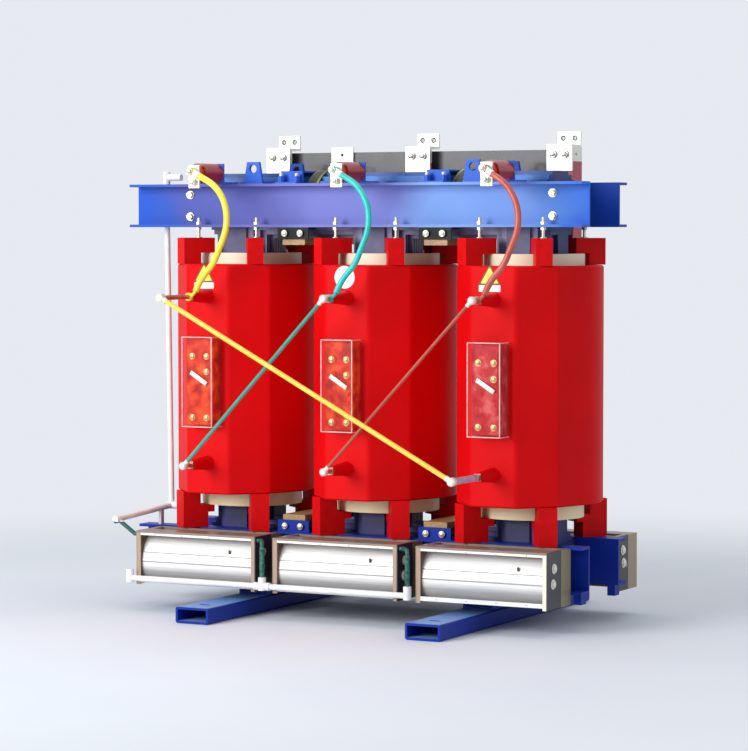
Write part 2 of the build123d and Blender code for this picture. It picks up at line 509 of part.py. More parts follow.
# Fans. Drawn for the front row, turned half round for the rear row.
def fan_housing():
    x_in = FAN_HALF - FAN_END
    zf = FAN_Z
    body = None
    for s in (-1, 1):
        x = side((x_in, FAN_HALF), s)
        post = side((FAN_HALF - FAN_POST, FAN_HALF), s)
        end = block(x, (-FAN_Y[2], -FAN_Y[0]), zf)
        end += block(post, (-FAN_Y[2], -FAN_Y[2] + FAN_END), zf)
        if s < 0:
            end += rod_x((-x_in, -x_in + FAN_POST), -WHEEL_Y, WHEEL_Z, BUSH_R)
            end -= rod_x((-FAN_HALF - FAN_END, -x_in + FAN_POST + FAN_END), -WHEEL_Y, WHEEL_Z,
                         SHAFT_R + BUSH_CLEAR)
        body = end if body is None else body + end
    x = (-x_in - FAN_END / 2, x_in + FAN_END / 2)
    t = FAN_SHEET
    # curved face with two rolled ribs, between a top and a bottom rail that stand proud
    shell = (rod_x(x, -SHELL_Y, SHELL_Z, SHELL_R)
             - rod_x((x[0] - t, x[1] + t), -SHELL_Y, SHELL_Z, SHELL_R - t))
    for z in FAN_ZRIB:
        out = math.sqrt(SHELL_R ** 2 - (z - SHELL_Z) ** 2) - RIB_R / 2
        shell += rod_x((-x_in + FAN_POST, x_in - FAN_POST), -SHELL_Y - out, z, RIB_R)
    body += shell & block((x[0] - t, x[1] + t), (-FAN_Y[2], -SHELL_Y - SHELL_R / 4), (FAN_ZRAIL[0] - t, zf[1]))
    for z in (FAN_ZRAIL, (FAN_ZTOP, zf[1])):
        body += block(x, (-FAN_Y[2], -FAN_Y[2] + FAN_END), z)
    # outlet frame round the top, open in the middle, its front member as wide as the face leaves
    lip = SHELL_Y + math.sqrt((SHELL_R - t) ** 2 - (zf[1] - SHELL_Z) ** 2)
    frame = block((-FAN_HALF, FAN_HALF), (-FAN_Y[2], -FAN_Y[0]), (zf[1], zf[1] + 2 * FAN_END))
    frame -= block(span(0, x_in - FAN_POST), (-lip, -FAN_Y[0] - FAN_POST),
                   (zf[1] - FAN_END, zf[1] + 3 * FAN_END))
    body += frame
    # floor sheet under the wheel, tongue above the intake on the inner side
    body += block(x, (-FAN_Y[2], -FLOOR_Y), (FAN_ZRAIL[0] - t, FAN_ZRAIL[0]))
    body += block(x, (-FAN_Y[0] - t, -FAN_Y[0]), (TONGUE_Z, zf[1]))
    # hanger plates reach back to the clamp flange
    for s in (-1, 1):
        body += block(side((FAN_HALF - BRKT_T, FAN_HALF), s), (-FAN_Y[0] - FAN_END, -TIP),
                      (FAN_Z[0], LOW_Z[1] - FLANGE / 2))
    return body


def fan_wheel():
    half = FAN_HALF - WHEEL_END
    xa, xb = -half, half - MOTOR_L
    parts = [rod_x((x, x + DISC_T), -WHEEL_Y, WHEEL_Z, WHEEL_R) for x in (xa, (xa + xb) / 2, xb - DISC_T)]
    for i in range(BLADES):
        blade = block((xa, xb), span(0, BLADE_T / 2), (WHEEL_R - BLADE_W, WHEEL_R - BLADE_T))
        parts.append(Pos(0, -WHEEL_Y, WHEEL_Z) * Rot(X=i * 360 / BLADES) * blade)
    parts.append(rod_x((-FAN_HALF, xa + DISC_T), -WHEEL_Y, WHEEL_Z, SHAFT_R))
    parts.append(rod_x((xb - DISC_T, xb + WHEEL_END - 2 * FAN_END), -WHEEL_Y, WHEEL_Z, SHAFT_R))
    return joined(parts)


def fan_motor():
    half = FAN_HALF - WHEEL_END
    xb = half - MOTOR_L
    x = (xb + WHEEL_END / 2, FAN_HALF - FAN_END)
    m = rod_x(x, -WHEEL_Y, WHEEL_Z, MOTOR_R)
    m -= rod_x((x[0] - FAN_END, xb + WHEEL_END), -WHEEL_Y, WHEEL_Z, SHAFT_R + BUSH_CLEAR)
    return m


motors = []
for row, turn in (("front", 0), ("rear", 180)):
    for name, k in zip(("left", "middle", "right"), PHASES):
        at = Pos(k * PITCH + FAN_SHIFT, 0, 0) * Rot(Z=turn)
        save(f"fan_housing_{row}_{name}", at * fan_housing())
        save(f"fan_wheel_{row}_{name}", at * fan_wheel())
        motors.append(at * fan_motor())
save("fan_motors", *motors)

# Wiring conduit: down the left end, forward past the clamp, then along the front fans.
top, bottom = PIPE_Z[1], PIPE_Z[0]
start = Vector(PIPE_X[0], -PIPE_Y, bottom)
head = Vector(PIPE_X[1], -PIPE_Y, top)
pipe = rod(start, head, PIPE_R)
pipe += rod_z(head.X, -PIPE_Y, (top - SOCKET_L, top + SOCKET_R), SOCKET_R)
pipe += rod_x((head.X, head.X + 2 * SOCKET_L), -PIPE_Y, top - SOCKET_R / 2, SOCKET_R - FLANGE / 5)
pipe += rod_x((start.X - SOCKET_R, start.X + SOCKET_L), -PIPE_Y, bottom, SOCKET_R)
pipe += block(span(head.X, SOCKET_R), (-WEB_IN, -PIPE_Y), span((UP_Z[0] + UP_Z[1]) / 2, SOCKET_R))
elbow = Vector(*ELBOW)
pipe += rod(start, elbow, PIPE_R)
pipe += rod(elbow, elbow + (elbow - start).normalized() * SOCKET_R, SOCKET_R) + Pos(*ELBOW) * Sphere(SOCKET_R)
f = ((WEB_OUT + TIP) / 2 - PIPE_Y) / (-ELBOW[1] - PIPE_Y)
hold = start + (elbow - start) * f
pipe += block(span(hold.X, PIPE_R / 2), span(hold.Y, PIPE_R), (LOW_Z[1], hold.Z))
# a short flexible tail drops from the elbow into the end of the first fan
x_fan = -PITCH + FAN_SHIFT - FAN_HALF
entry = Vector(x_fan - 2 * FLEX_R, *FLEX_IN)
pipe += rod(elbow, entry, FLEX_R) + Pos(*entry) * Sphere(FLEX_R) + rod_x((entry.X, x_fan), *FLEX_IN, FLEX_R)
run = rod_x(RUN_X, -RUN_Y, RUN_Z, PIPE_R)
for x in (RUN_X[0], TEE_X, RUN_X[1]):
    run += rod_z(x, -RUN_Y, (RUN_Z - SOCKET_R, RUN_Z + SOCKET_L), SOCKET_R)
run += rod_x(span(TEE_X, SOCKET_L), -RUN_Y, RUN_Z, SOCKET_R)
# leads leave the tee and the end elbow and enter the nearest fan ends
for x, x_fan in ((TEE_X, -PITCH + FAN_SHIFT + FAN_HALF), (RUN_X[1], FAN_SHIFT + FAN_HALF)):
    path = FilletPolyline((x, -RUN_Y, RUN_Z + SOCKET_L - FLEX_R), (x, -RUN_Y, FLEX_IN[1]),
                          (x_fan + 2 * FLEX_R, *FLEX_IN), (x_fan, *FLEX_IN), radius=1.6 * FLEX_R)
    run += sweep(Plane(origin=path @ 0, z_dir=path % 0) * Circle(FLEX_R), path)
for k, s in ((-1, -1), (-1, 1), (0, -1), (0, 1)):
    x = k * PITCH + FAN_SHIFT + s * (FAN_HALF - FAN_POST / 2)
    run += block(span(x, FAN_POST / 2), (-RUN_Y, -FAN_Y[2]), span(RUN_Z, PIPE_R / 2))
save("conduit", pipe + run)
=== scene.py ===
import math

import bmesh
import bpy
from mathutils import Matrix, Vector


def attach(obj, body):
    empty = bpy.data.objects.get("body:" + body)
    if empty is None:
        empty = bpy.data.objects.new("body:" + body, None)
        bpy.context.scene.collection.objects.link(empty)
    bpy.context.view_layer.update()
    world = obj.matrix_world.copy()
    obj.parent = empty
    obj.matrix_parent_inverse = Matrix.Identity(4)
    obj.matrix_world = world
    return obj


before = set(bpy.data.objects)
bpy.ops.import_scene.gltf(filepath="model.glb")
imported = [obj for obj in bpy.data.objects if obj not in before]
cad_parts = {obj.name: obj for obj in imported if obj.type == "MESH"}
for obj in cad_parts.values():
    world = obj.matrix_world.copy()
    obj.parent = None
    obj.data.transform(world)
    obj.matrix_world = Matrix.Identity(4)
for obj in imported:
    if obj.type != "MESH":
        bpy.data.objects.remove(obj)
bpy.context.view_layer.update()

# ---- Camera
# Stands in front of the high voltage side and to its right, ten metres off,
# at chest height, with a long lens.
camera = bpy.data.objects.new("camera", bpy.data.cameras.new("camera"))
bpy.context.scene.collection.objects.link(camera)
camera.data.lens = 141.06
camera.data.sensor_width = 36.0
camera.location = (5.1740, -9.8982, 1.4609)
camera.rotation_euler = (math.radians(87.13), 0.0, math.radians(27.88))
camera.data.clip_end = 100.0
bpy.context.scene.camera = camera


# ---- Floor and light
# Plain pale floor that runs up into the backdrop. One broad soft lamp from the front left
# above, a weaker one from the right, and an even pale room round everything.
def srgb(code):
    """A colour's hex value as Blender's linear red, green, blue and alpha."""
    parts = [int(code[i:i + 2], 16) / 255.0 for i in (1, 3, 5)]
    return [v / 12.92 if v <= 0.04045 else ((v + 0.055) / 1.055) ** 2.4 for v in parts] + [1.0]


def add_node(tree, kind, sockets=None, stops=None, **settings):
    """One shader node: its settings, its inputs as values or other nodes' outputs, its ramp's stops."""
    node = tree.nodes.new("ShaderNode" + kind)
    for name, value in settings.items():
        setattr(node, name, value)
    for name, value in (sockets or {}).items():
        if isinstance(value, bpy.types.NodeSocket):
            tree.links.new(value, node.inputs[name])
        else:
            node.inputs[name].default_value = value
    for i, (place, shade) in enumerate(stops or ()):
        ramp = node.color_ramp.elements
        stop = ramp[i] if i < 2 else ramp.new(place)
        stop.position, stop.color = place, shade
    return node


def finish(name, **looks):
    """A new material: its tree, its shader with plain values set, and places on the piece in metres."""
    material = bpy.data.materials.new(name)
    material.use_nodes = True
    tree = material.node_tree
    shader = tree.nodes["Principled BSDF"]
    for key, value in looks.items():
        shader.inputs[key.replace("_", " ")].default_value = value
    return material, tree, shader, add_node(tree, "TexCoord").outputs["Object"]


def per_metre(mm):
    """How often a pattern of this size repeats in a metre."""
    return 1000.0 / mm


room = bpy.data.worlds.new("room")
bpy.context.scene.world = room
bpy.context.scene.view_settings.view_transform = "Standard"
room.use_nodes = True


def seen_directly(tree):
    """1 for rays from the camera, or from it by way of metal or glass, and 0 for the light."""
    ray = add_node(tree, "LightPath").outputs
    metal = add_node(tree, "Math", {0: ray["Is Camera Ray"], 1: ray["Is Glossy Ray"]}, operation="MAXIMUM")
    glass = add_node(tree, "Math", {0: metal.outputs[0], 1: ray["Is Transmission Ray"]}, operation="MAXIMUM")
    return glass.outputs[0]


ROOM_LIGHT, BACKDROP = 0.5, 0.93      # how bright the room lights the object and looks by itself
level = add_node(room.node_tree, "MapRange", {"Value": seen_directly(room.node_tree),
                                              "To Min": ROOM_LIGHT, "To Max": BACKDROP})
backdrop = room.node_tree.nodes["Background"]
backdrop.inputs["Color"].default_value = srgb("#EEF2F8")
room.node_tree.links.new(level.outputs[0], backdrop.inputs["Strength"])

ground, tree, shader, where = finish("painted_studio_floor", Roughness=0.7)
cloud = add_node(tree, "TexNoise", {"Vector": where, "Scale": per_metre(1800), "Detail": 2.0})
tone = add_node(tree, "ValToRGB", {"Fac": cloud.outputs["Fac"]},
                stops=((0.3, srgb("#DCE3EC")), (0.7, srgb("#E6EBF2"))))
tree.links.new(tone.outputs["Color"], shader.inputs["Base Color"])
# far from the object the floor runs into the backdrop
reach = add_node(tree, "VectorMath", {0: where}, operation="LENGTH")
far = add_node(tree, "MapRange", {"Value": reach.outputs["Value"], "From Min": 1.4, "From Max": 4.5},
               interpolation_type="SMOOTHSTEP")
blend = add_node(tree, "Math", {0: far.outputs[0], 1: seen_directly(tree)}, operation="MULTIPLY")
haze = add_node(tree, "Emission", {"Color": srgb("#EEF2F8"), "Strength": BACKDROP})
both = add_node(tree, "MixShader", {0: blend.outputs[0], 1: shader.outputs[0], 2: haze.outputs[0]})
tree.links.new(both.outputs[0], tree.nodes["Material Output"].inputs["Surface"])
mesh = bpy.data.meshes.new("floor")
mesh.from_pydata([(-30, -30, 0), (30, -30, 0), (30, 30, 0), (-30, 30, 0)], [], [(0, 1, 2, 3)])
floor = bpy.data.objects.new("floor", mesh)
floor.location.z = -0.001
floor.data.materials.append(ground)
bpy.context.scene.collection.objects.link(floor)

for name, power, size, place, aim in (("main_lamp", 390.0, 3.4, (-2.6, -6.2, 2.9), (0, 0, 0.9)),
                                      ("side_lamp", 25.0, 3.0, (6.0, -2.0, 3.0), (0, 0, 0.9)),
                                      ("top_lamp", 85.0, 4.0, (0.0, 0.5, 5.5), (0, 0, 0.9))):
    lamp = bpy.data.objects.new(name, bpy.data.lights.new(name, "AREA"))
    lamp.data.energy, lamp.data.size = power, size
    lamp.location = place
    lamp.rotation_euler = (Vector(aim) - Vector(place)).to_track_quat("-Z", "Y").to_euler()
    bpy.context.scene.collection.objects.link(lamp)


# ---- Core
# Limbs and yokes are packs of silicon steel sheet, painted with a thin blue-grey resin.
# The sheet edges show through it as fine straight lines.
def dress(material, *names):
    """Gives CAD nodes their finish."""
    for name in names:
        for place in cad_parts[name].material_slots:
            place.material = material


SHEET = 3.0          # ten sheets of 0.3 mm drawn as one line, so that they show
core_paint, tree, shader, where = finish("core_resin_paint", Roughness=0.5, Metallic=0.0)
sheets = add_node(tree, "TexWave", {"Vector": where, "Scale": per_metre(SHEET) / 20, "Distortion": 0.4,
                                    "Detail": 2.0, "Detail Scale": 1.0}, bands_direction="Y")
stains = add_node(tree, "TexNoise", {"Vector": where, "Scale": per_metre(90), "Detail": 5.0})
worn = add_node(tree, "ValToRGB", {"Fac": stains.outputs["Fac"]},
                stops=((0.3, srgb("#B0B0B8")), (0.6, srgb("#FFFFFF"))))
axis = add_node(tree, "SeparateXYZ", {"Vector": where})
half = add_node(tree, "Math", {0: axis.outputs["Z"], 1: 0.5}, operation="MULTIPLY")
# deep blue at the foot, bright blue along the top, and up the limbs a pale grey-lilac: painted light that
# lifts the limbs out of the shade under the clamps
tone = add_node(tree, "ValToRGB", {"Fac": half.outputs[0]},
                stops=((0.0, srgb("#343A74")), (0.23, srgb("#54549A")), (0.62, srgb("#A29EC4")),
                       (0.79, srgb("#9C98BE")), (0.81, srgb("#4C86D2")), (1.0, srgb("#4C86D2"))))
# painted shade: past X 0.70 the core turns navy, where its right-hand side lies in shade
shade = add_node(tree, "Math", {0: axis.outputs["X"], 1: 0.70}, operation="GREATER_THAN")
tone = add_node(tree, "Mix", {"Factor": shade.outputs[0], 6: tone.outputs["Color"], 7: srgb("#1E3478")},
                data_type="RGBA")
tone = add_node(tree, "Mix", {"Factor": 1.0, 6: tone.outputs[2], 7: worn.outputs["Color"]},
                data_type="RGBA", blend_type="MULTIPLY")
edge = add_node(tree, "Mix", {"Factor": sheets.outputs["Fac"], 6: tone.outputs[2], 7: srgb("#8486A6")},
                data_type="RGBA", blend_type="MULTIPLY")
tree.links.new(edge.outputs[2], shader.inputs["Base Color"])
ridge = add_node(tree, "Bump", {"Height": sheets.outputs["Fac"], "Strength": 0.5, "Distance": 0.0006})
tree.links.new(ridge.outputs[0], shader.inputs["Normal"])
dress(core_paint, "core_limb_left", "core_limb_middle", "core_limb_right", "yoke_lower", "yoke_upper")

# ---- Yoke pads
# Pressboard strips between core and clamps: smooth brown board with a felted surface.
pressboard, tree, shader, where = finish("pressboard", Roughness=0.75)
felt = add_node(tree, "TexNoise", {"Vector": where, "Scale": per_metre(12), "Detail": 6.0})
tone = add_node(tree, "ValToRGB", {"Fac": felt.outputs["Fac"]},
                stops=((0.35, srgb("#8A6A3E")), (0.7, srgb("#B08D5A"))))
tree.links.new(tone.outputs["Color"], shader.inputs["Base Color"])
dress(pressboard, "yoke_pads")

# ---- Clamps, feet, skids and brackets
# Rolled channel and folded plate under glossy blue enamel over the mill skin. Its colour runs from deep
# blue at the left through lavender to pale blue at the right: painted reflection of the room's light.
enamel, tree, shader, where = finish("blue_enamel", Roughness=0.42, Specular_IOR_Level=0.18)
axis = add_node(tree, "SeparateXYZ", {"Vector": where})
drift = add_node(tree, "TexNoise", {"Vector": where, "Scale": per_metre(260), "Detail": 3.0})
along = add_node(tree, "Math", {0: drift.outputs["Fac"], 1: 0.35, 2: axis.outputs["X"]},
                 operation="MULTIPLY_ADD")
# painted reflection: deep blue at the left end, lavender in the middle, pale blue at the right
painted_reflection_along_x = add_node(tree, "MapRange", {"Value": along.outputs[0], "From Min": -0.855, "From Max": 1.068})
tone = add_node(tree, "ValToRGB", {"Fac": painted_reflection_along_x.outputs[0]},
                stops=((0.0, srgb("#0A52C4")), (0.07, srgb("#2A54B8")), (0.13, srgb("#4C57A8")),
                       (0.28, srgb("#5A5EB0")), (0.43, srgb("#7478C4")), (0.59, srgb("#7078C4")),
                       (0.69, srgb("#7CA2E0")), (0.85, srgb("#688ED6")), (0.95, srgb("#4680D8")),
                       (1.0, srgb("#2468D8"))))
tone = tone.outputs["Color"]
fall = add_node(tree, "Math", {0: axis.outputs["Z"], 1: -1.0}, operation="MULTIPLY").outputs[0]
# where a measure runs from low to high, another colour fades in
for measure, low, high, colour in (
        (axis.outputs["Z"], 1.630, 1.632, "#2E62CC"),          # lugs and straps: a plainer blue
        (axis.outputs["Y"], 0.10, 0.12, "#0C3EA6"),            # rear clamp
        # painted shade: the brackets under the upper clamps are near black
        (fall, -1.4635, -1.4630, "#05070E"),                   # brackets under the upper clamps
        (fall, -0.60, -0.55, "#0E2E98")):                      # all below the coils
    part = add_node(tree, "MapRange", {"Value": measure, "From Min": low, "From Max": high})
    tone = add_node(tree, "Mix", {"Factor": part.outputs[0], 6: tone, 7: srgb(colour)},
                    data_type="RGBA").outputs[2]
# painted highlight: the upper faces of the skids are paler blue, as if lit from above
normal = add_node(tree, "NewGeometry").outputs["Normal"]
facing = add_node(tree, "SeparateXYZ", {"Vector": normal})
dust_and_painted_highlight = add_node(tree, "MapRange",
                 {"Value": facing.outputs["Z"], "From Min": 0.9, "From Max": 1.0, "To Max": 0.8})
low = add_node(tree, "Math", {0: axis.outputs["Z"], 1: 0.075}, operation="LESS_THAN")
dust_and_painted_highlight = add_node(tree, "Math", {0: dust_and_painted_highlight.outputs[0], 1: low.outputs[0]}, operation="MULTIPLY")
tone = add_node(tree, "Mix", {"Factor": dust_and_painted_highlight.outputs[0], 6: tone, 7: srgb("#86AEE2")},
                data_type="RGBA").outputs[2]
tree.links.new(tone, shader.inputs["Base Color"])
peel = add_node(tree, "TexNoise", {"Vector": where, "Scale": per_metre(4), "Detail": 2.0})
skin = add_node(tree, "Bump", {"Height": peel.outputs["Fac"], "Strength": 0.25, "Distance": 0.0004})
tree.links.new(skin.outputs[0], shader.inputs["Normal"])
dress(enamel, "upper_clamp_front", "upper_clamp_rear", "lower_clamp_front", "lower_clamp_rear", "skid_left",
      "skid_right", "clamp_feet", "window_brackets", "lifting_lugs", "top_brackets")

# ---- Tie bolts and pressing studs
# Steel rods, nuts and washers with a thin bright zinc skin, slightly milky and yellowish.
zinc, tree, shader, where = finish("zinc_plated_steel", Roughness=0.38, Metallic=0.85)
bloom = add_node(tree, "TexNoise", {"Vector": where, "Scale": per_metre(9), "Detail": 4.0})
tone = add_node(tree, "ValToRGB", {"Fac": bloom.outputs["Fac"]},
                stops=((0.3, srgb("#B9B6A6")), (0.7, srgb("#E2E0D4"))))
tree.links.new(tone.outputs["Color"], shader.inputs["Base Color"])
dress(zinc, "tie_bolts", "pressing_studs")


# ---- Bolt heads and nuts
# Zinc-plated hexagon heads on round washers. The corners of each head are turned off and the
# bolt's domed end stands a thread or two proud.
def turned(work, at, axis, outline, sides=24, capped=True):
    """An outline of (along, radius) pairs in mm, turned round an axis from a point."""
    turn = Vector(axis).normalized().to_track_quat("Z", "Y").to_matrix()
    angles = [math.tau * i / sides for i in range(sides)]
    rings = []
    for along, radius in outline:
        spots = [turn @ Vector((radius * math.cos(a), radius * math.sin(a), along)) for a in angles]
        rings.append([work.verts.new((Vector(at) + spot) / 1000) for spot in spots])
    for low, high in zip(rings, rings[1:]):
        for i in range(sides):
            j = (i + 1) % sides
            work.faces.new((low[i], low[j], high[j], high[i]))
    if capped:
        work.faces.new(rings[0])
        work.faces.new(rings[-1])


def slab(work, low, high, soft=0.8, spin=None):
    """A plate between two corners, in mm, with its edges eased, spun by a matrix about its middle."""
    made = bmesh.ops.create_cube(work, size=1.0)["verts"]
    middle = (Vector(low) + Vector(high)) / 2000
    size = (Vector(high) - Vector(low)) / 1000
    bmesh.ops.scale(work, vec=size, verts=made)
    edges = list({edge for vert in made for edge in vert.link_edges})
    eased = bmesh.ops.bevel(work, geom=edges, offset=soft / 1000, segments=2, profile=0.5, affect="EDGES")
    whole = list({vert for face in eased["faces"] for vert in face.verts} | {v for v in made if v.is_valid})
    if spin:
        bmesh.ops.transform(work, matrix=spin.to_4x4(), verts=whole)
    bmesh.ops.translate(work, vec=middle, verts=whole)


def hex_head(work, at, axis, across, height):
    """Washer, chamfered hexagon and domed bolt end, standing on a point in mm."""
    r = across / math.sqrt(3)
    turned(work, at, axis, ((0, r * 1.25), (height * 0.12, r * 1.3), (height * 0.2, r * 1.2)))
    turned(work, at, axis, ((height * 0.2, r * 0.96), (height * 0.28, r), (height * 0.72, r),
                            (height * 0.8, r * 0.86)), sides=6)
    turned(work, at, axis, ((height * 0.7, r * 0.5), (height * 0.95, r * 0.48), (height, r * 0.3)))


def piece(name, work, material, body="frame"):
    """A made piece, smooth where it curves, riding on a body."""
    bmesh.ops.recalc_face_normals(work, faces=work.faces)
    for face in work.faces:
        face.smooth = True
    mesh = bpy.data.meshes.new(name)
    work.to_mesh(mesh)
    work.free()
    mesh.set_sharp_from_angle(angle=math.radians(35))
    mesh.materials.append(material)
    made = bpy.data.objects.new(name, mesh)
    bpy.context.scene.collection.objects.link(made)
    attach(made, body)
    return made


COILS = (-600.0, 0.0, 600.0)          # middles of the coils along X, in mm
LINE_SHIFT = (-22.0, -12.0, 0.0)      # each line terminal from the middle of its coil
M10, M12 = (17.0, 9.0), (19.0, 11.0)  # a head with its washer: across flats and height
heads = bmesh.new()
# two in each arm of the window brackets, which stand 214 mm out from the core's middle
for window in (-300.0, 300.0):
    for side in (-1, 1):
        for height in (331.0, 1441.0):
            for off in (-33.5, 33.5):
                hex_head(heads, (window + off, side * 214.0, height), (0, side, 0), *M10)
# screws of the straps across the yoke
for middle in (-347.0, 275.0):
    for side in (-1, 1):
        for off in (-34.0, 34.0):
            turned(heads, (middle + off, side * 154.0, 1657.0), (0, 0, 1),
                   ((0, 9.0), (1.0, 9.4), (2.0, 7.0), (9.0, 7.0), (11.0, 5.5)))
# the pair on each low voltage plate and the lower one on each line plate
for coil, off in zip(COILS, (-21.0, -2.0, -3.0)):
    for side in (-24.0, 24.0):
        hex_head(heads, (coil + off + side, 237.0, 1739.0), (0, -1, 0), *M12)
for coil, off in zip(COILS, LINE_SHIFT):
    hex_head(heads, (coil + off, -410.0, 1634.0), (0, -1, 0), 19.0, 10.0)
piece("bracket_bolt_heads", heads, zinc)

# ---- Low voltage coils
# Copper foil wound with glass cloth and sealed at the ends with cream resin. Toward the foot the seal
# is painted brighter and yellower: painted light that lifts the lower ring out of the casting's shade.
seal, tree, shader, where = finish("cream_end_seal_resin", Roughness=0.45)
axis = add_node(tree, "SeparateXYZ", {"Vector": where})
run = add_node(tree, "TexNoise", {"Vector": where, "Scale": per_metre(70), "Detail": 4.0})
mottle = add_node(tree, "Math", {0: run.outputs["Fac"], 1: 0.10, 2: axis.outputs["Z"]},
                  operation="MULTIPLY_ADD")
# painted light: low down the seal is brighter, to lift the shaded lower ring
painted_light_low_end = add_node(tree, "MapRange", {"Value": mottle.outputs[0], "From Min": 0.40, "From Max": 0.62})
tone = add_node(tree, "ValToRGB", {"Fac": painted_light_low_end.outputs[0]},
                stops=((0.0, srgb("#FCEEBC")), (0.5, srgb("#F6E8BE")), (1.0, srgb("#F2E8CC"))))
tree.links.new(tone.outputs["Color"], shader.inputs["Base Color"])
cloth = add_node(tree, "TexWave", {"Vector": where, "Scale": per_metre(6) / 20, "Distortion": 1.0},
                 bands_direction="Z")
weave = add_node(tree, "Bump", {"Height": cloth.outputs["Fac"], "Strength": 0.3, "Distance": 0.0005})
tree.links.new(weave.outputs[0], shader.inputs["Normal"])
dress(seal, "lv_coil_left", "lv_coil_middle", "lv_coil_right")

# ---- High voltage coils
# Foil coils cast under vacuum in red epoxy. The mould leaves broad shallow waves over the
# windings and a smooth satin skin that shines at a low angle.
casting, tree, shader, where = finish("cast_red_epoxy", Roughness=0.48, Specular_IOR_Level=0.08)
cure = add_node(tree, "TexNoise", {"Vector": where, "Scale": per_metre(300), "Detail": 2.0})
tone = add_node(tree, "ValToRGB", {"Fac": cure.outputs["Fac"]},
                stops=((0.3, srgb("#D2060C")), (0.7, srgb("#DE090F"))))
tree.links.new(tone.outputs["Color"], shader.inputs["Base Color"])
waves = add_node(tree, "TexNoise", {"Vector": where, "Scale": per_metre(110), "Detail": 1.0})
grain = add_node(tree, "TexNoise", {"Vector": where, "Scale": per_metre(5), "Detail": 2.0})
both = add_node(tree, "Math", {0: grain.outputs["Fac"], 1: 0.06, 2: waves.outputs["Fac"]},
                operation="MULTIPLY_ADD")
skin = add_node(tree, "Bump", {"Height": both.outputs[0], "Strength": 0.35, "Distance": 0.006})
tree.links.new(skin.outputs[0], shader.inputs["Normal"])
dress(casting, "hv_coil_left", "hv_coil_middle", "hv_coil_right")

# ---- Blank markers
# Thin printed foil stuck on the flat of each casting near its top: a yellow triangle with a
# dark edge over a white strip on the outer coils, a white disc on the middle one.
foils = {}
for kind, shine, worn, fresh in (("yellow_marker_foil", 0.35, "#D8BE2A", "#F0DC3C"),
                                 ("white_marker_foil", 0.35, "#DEDAD4", "#F6F3EE"),
                                 ("dark_marker_edge", 0.4, "#2E2A10", "#4A4412")):
    foils[kind], tree, shader, where = finish(kind, Roughness=shine)
    spots = add_node(tree, "TexNoise", {"Vector": where, "Scale": per_metre(15), "Detail": 4.0})
    tone = add_node(tree, "ValToRGB", {"Fac": spots.outputs["Fac"]},
                    stops=((0.3, srgb(worn)), (0.55, srgb(fresh))))
    tree.links.new(tone.outputs["Color"], shader.inputs["Base Color"])


def badge(work, x, z, outline, front, thick=0.5):
    """A flat foil of (x, z) points in mm round a middle, on the casting, facing forward."""
    corners = [Vector((x + dx, front, z + dz)) / 1000 for dx, dz in outline]
    face = work.faces.new([work.verts.new(corner) for corner in corners])
    grown = bmesh.ops.extrude_face_region(work, geom=[face])["geom"]
    bmesh.ops.translate(work, vec=(0, -thick / 1000, 0),
                        verts=[v for v in grown if isinstance(v, bmesh.types.BMVert)])


def rounded(corners, radius):
    """Points round a polygon whose corners are eased by a radius."""
    points = []
    for i, here in enumerate(corners):
        here = Vector(here)
        before = (Vector(corners[i - 1]) - here).normalized()
        after = (Vector(corners[(i + 1) % len(corners)]) - here).normalized()
        for t in (0.0, 0.25, 0.5, 0.75, 1.0):
            a, b = here + before * radius, here + after * radius
            points.append(tuple(a * (1 - t) ** 2 + here * 2 * t * (1 - t) + b * t ** 2))
    return points


FLAT = -335.0                         # the flat front of a casting
yellow, white, dark = bmesh.new(), bmesh.new(), bmesh.new()
for coil in (COILS[0], COILS[2]):
    triangle = ((-43, -34), (43, -34), (0, 38))
    badge(dark, coil - 14, 1291, rounded(triangle, 7), FLAT)
    badge(yellow, coil - 14, 1289.5, rounded([(x * 0.84, z * 0.84) for x, z in triangle], 6), FLAT - 0.5)
    badge(white, coil - 14, 1243, rounded(((-43, -12), (43, -12), (43, 12), (-43, 12)), 3), FLAT)
DISC = 42.0
ring = [math.tau * i / 40 for i in range(40)]
badge(white, COILS[1] - 8, 1279, [(DISC * math.cos(a), DISC * math.sin(a)) for a in ring], FLAT)
piece("marker_triangles", yellow, foils["yellow_marker_foil"])
piece("marker_edges", dark, foils["dark_marker_edge"])
piece("marker_strips", white, foils["white_marker_foil"])

# ---- Support blocks
# Pressed red polyester blocks, duller than the coils.
moulding, tree, shader, where = finish("pressed_red_polyester", Roughness=0.5, Specular_IOR_Level=0.12)
flow = add_node(tree, "TexNoise", {"Vector": where, "Scale": per_metre(30), "Detail": 5.0})
tone = add_node(tree, "ValToRGB", {"Fac": flow.outputs["Fac"]},
                stops=((0.3, srgb("#CC060A")), (0.7, srgb("#DA080E"))))
tree.links.new(tone.outputs["Color"], shader.inputs["Base Color"])
skin = add_node(tree, "Bump", {"Height": flow.outputs["Fac"], "Strength": 0.2, "Distance": 0.001})
tree.links.new(skin.outputs[0], shader.inputs["Normal"])
dress(moulding, "blocks_upper", "blocks_lower")

# ---- Braces in the windows
# Varnished laminated wood: long straight grain along the plank and a dull shine.
plank, tree, shader, where = finish("varnished_laminated_wood", Roughness=0.4)
stretch = add_node(tree, "Mapping", {"Vector": where, "Scale": (1.0, 0.06, 1.0)})
fibre = add_node(tree, "TexNoise", {"Vector": stretch.outputs[0], "Scale": per_metre(5), "Detail": 5.0})
tone = add_node(tree, "ValToRGB", {"Fac": fibre.outputs["Fac"]},
                stops=((0.3, srgb("#8C6A3A")), (0.7, srgb("#B99661"))))
tree.links.new(tone.outputs["Color"], shader.inputs["Base Color"])
dress(plank, "window_braces")

